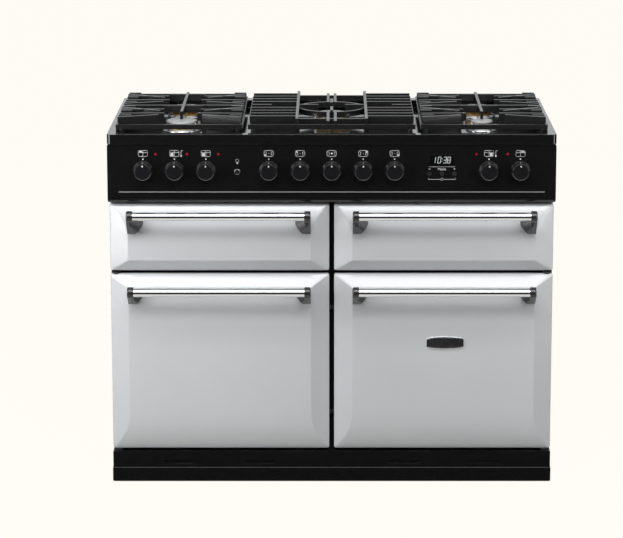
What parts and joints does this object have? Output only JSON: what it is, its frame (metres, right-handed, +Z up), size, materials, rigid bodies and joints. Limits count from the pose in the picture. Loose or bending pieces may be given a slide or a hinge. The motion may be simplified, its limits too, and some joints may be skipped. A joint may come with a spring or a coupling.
{
  "type": "range cooker",
  "caption": "Freestanding range cooker: gas hob with cast supports, control panel with knobs, glide-out grill, slow oven and side-hung fan ovens.",
  "frame": {"origin": "on the floor, below the middle of the bounding box", "axes": "+X to the right seen from the front, +Y to the back, +Z up"},
  "size_m": [1.1, 0.654, 0.912],
  "materials": {
    "pearl_enamel": "gloss enamel, light pearl grey",
    "black_enamel": "gloss black enamel",
    "casing_paint": "satin black paint",
    "cavity_enamel": "dark vitreous enamel",
    "handle_chrome": "polished bars in dark grey brackets",
    "bright_trim": "polished",
    "burner_brass": "machined",
    "cap_metal": "satin light grey",
    "ceramic": "glazed white",
    "cast_iron": "matt black enamelled iron",
    "plated_steel": "plated",
    "grill_rod": "oxidised sheath",
    "gas_brass": "as cast and drawn",
    "control_plastic": "moulded",
    "motor_steel": "zinc plated",
    "seal_rubber": "silicone, matt",
    "foot_steel": "black feet",
    "display": "dark window",
    "lamp_red": "translucent red",
    "knob_black": "gloss black",
    "button_chrome": "polished",
    "button_black": "gloss black"
  },
  "bodies": {
    "cooker": {"base_tray": "casing_paint", "side_panels": "casing_paint", "back_panel": "casing_paint", "front_frame": "black_enamel", "grill_cavity": "cavity_enamel", "slow_oven_cavity": "cavity_enamel", "left_oven_cavity": "cavity_enamel", "right_oven_cavity": "cavity_enamel", "control_panel": "black_enamel", "fascia_trim": "bright_trim", "timer_display": "display", "hob_top": "black_enamel", "burner_bases": "bright_trim", "burner_heads": "burner_brass", "burner_caps": "cap_metal", "ignition_electrodes": "ceramic", "pan_support_left": "cast_iron", "pan_support_centre": "cast_iron", "pan_support_right": "cast_iron", "vent_plinth": "black_enamel", "kick_plinth": "black_enamel", "levelling_feet": "foot_steel", "door_hinges": "plated_steel", "oven_racks": "plated_steel", "fan_covers": "cavity_enamel", "fan_motors": "motor_steel", "grill_element": "grill_rod", "gas_rail": "gas_brass", "oven_controls": "control_plastic", "door_seals": "seal_rubber", "indicator_lamps": "lamp_red"},
    "left_door": {"left_door_skin": "pearl_enamel", "left_door_liner": "cavity_enamel", "left_door_handle": "handle_chrome"},
    "right_door": {"right_door_skin": "pearl_enamel", "right_door_liner": "cavity_enamel", "right_door_handle": "handle_chrome"},
    "slow_oven_door": {"slow_door_skin": "pearl_enamel", "slow_door_liner": "cavity_enamel", "slow_door_handle": "handle_chrome"},
    "grill_drawer": {"grill_front_skin": "pearl_enamel", "grill_carriage": "plated_steel", "grill_pan": "cavity_enamel", "grill_handle": "handle_chrome"},
    "knob_1": {"knob_1": "knob_black"},
    "knob_2": {"knob_2": "knob_black"},
    "knob_3": {"knob_3": "knob_black"},
    "knob_4": {"knob_4": "knob_black"},
    "knob_5": {"knob_5": "knob_black"},
    "knob_6": {"knob_6": "knob_black"},
    "knob_7": {"knob_7": "knob_black"},
    "knob_8": {"knob_8": "knob_black"},
    "knob_9": {"knob_9": "knob_black"},
    "knob_10": {"knob_10": "knob_black"},
    "light_button": {"light_button": "button_chrome"},
    "timer_minus_button": {"timer_minus_button": "button_black"},
    "timer_mode_button": {"timer_mode_button": "button_black"},
    "timer_plus_button": {"timer_plus_button": "button_black"},
    "fan_left": {"fan_left": "plated_steel"},
    "fan_right": {"fan_right": "plated_steel"}
  },
  "joints": [
    {"name": "left_door_hinge", "type": "hinge", "parent": "cooker", "child": "left_door", "pos_m": [-0.533, -0.236, 0.3085], "axis": [0, 0, -1], "range_deg": [0, 105]},
    {"name": "right_door_hinge", "type": "hinge", "parent": "cooker", "child": "right_door", "pos_m": [0.533, -0.236, 0.3085], "axis": [0, 0, 1], "range_deg": [0, 105]},
    {"name": "slow_oven_door_hinge", "type": "hinge", "parent": "cooker", "child": "slow_oven_door", "pos_m": [0.2765, -0.236, 0.555], "axis": [1, 0, 0], "range_deg": [0, 88]},
    {"name": "grill_drawer_slide", "type": "slide", "parent": "cooker", "child": "grill_drawer", "axis": [0, -1, 0], "range_m": [0, 0.3]},
    {"name": "knob_1_turn", "type": "hinge", "parent": "cooker", "child": "knob_1", "pos_m": [-0.462, -0.27, 0.7947], "axis": [0, 1, 0], "range_deg": [0, 300]},
    {"name": "knob_2_turn", "type": "hinge", "parent": "cooker", "child": "knob_2", "pos_m": [-0.385, -0.27, 0.7947], "axis": [0, 1, 0], "range_deg": [0, 300]},
    {"name": "knob_3_turn", "type": "hinge", "parent": "cooker", "child": "knob_3", "pos_m": [-0.308, -0.27, 0.7947], "axis": [0, 1, 0], "range_deg": [0, 300]},
    {"name": "knob_4_turn", "type": "hinge", "parent": "cooker", "child": "knob_4", "pos_m": [-0.154, -0.27, 0.7947], "axis": [0, -1, 0], "range_deg": [0, 210]},
    {"name": "knob_5_turn", "type": "hinge", "parent": "cooker", "child": "knob_5", "pos_m": [-0.077, -0.27, 0.7947], "axis": [0, -1, 0], "range_deg": [0, 210]},
    {"name": "knob_6_turn", "type": "hinge", "parent": "cooker", "child": "knob_6", "pos_m": [0, -0.27, 0.7947], "axis": [0, -1, 0], "range_deg": [0, 210]},
    {"name": "knob_7_turn", "type": "hinge", "parent": "cooker", "child": "knob_7", "pos_m": [0.077, -0.27, 0.7947], "axis": [0, -1, 0], "range_deg": [0, 210]},
    {"name": "knob_8_turn", "type": "hinge", "parent": "cooker", "child": "knob_8", "pos_m": [0.154, -0.27, 0.7947], "axis": [0, -1, 0], "range_deg": [0, 210]},
    {"name": "knob_9_turn", "type": "hinge", "parent": "cooker", "child": "knob_9", "pos_m": [0.385, -0.27, 0.7947], "axis": [0, 1, 0], "range_deg": [0, 300]},
    {"name": "knob_10_turn", "type": "hinge", "parent": "cooker", "child": "knob_10", "pos_m": [0.462, -0.27, 0.7947], "axis": [0, 1, 0], "range_deg": [0, 300]},
    {"name": "light_button_push", "type": "slide", "parent": "cooker", "child": "light_button", "axis": [0, 1, 0], "range_m": [0, 0.003], "stiffness_N_per_m": 400},
    {"name": "timer_minus_push", "type": "slide", "parent": "cooker", "child": "timer_minus_button", "axis": [0, 1, 0], "range_m": [0, 0.0015], "stiffness_N_per_m": 500},
    {"name": "timer_mode_push", "type": "slide", "parent": "cooker", "child": "timer_mode_button", "axis": [0, 1, 0], "range_m": [0, 0.0015], "stiffness_N_per_m": 500},
    {"name": "timer_plus_push", "type": "slide", "parent": "cooker", "child": "timer_plus_button", "axis": [0, 1, 0], "range_m": [0, 0.0015], "stiffness_N_per_m": 500},
    {"name": "fan_left_spin", "type": "hinge", "parent": "cooker", "child": "fan_left", "pos_m": [-0.2765, 0.18, 0.308], "axis": [0, 1, 0], "continuous": true},
    {"name": "fan_right_spin", "type": "hinge", "parent": "cooker", "child": "fan_right", "pos_m": [0.2765, 0.18, 0.308], "axis": [0, 1, 0], "continuous": true}
  ]
}
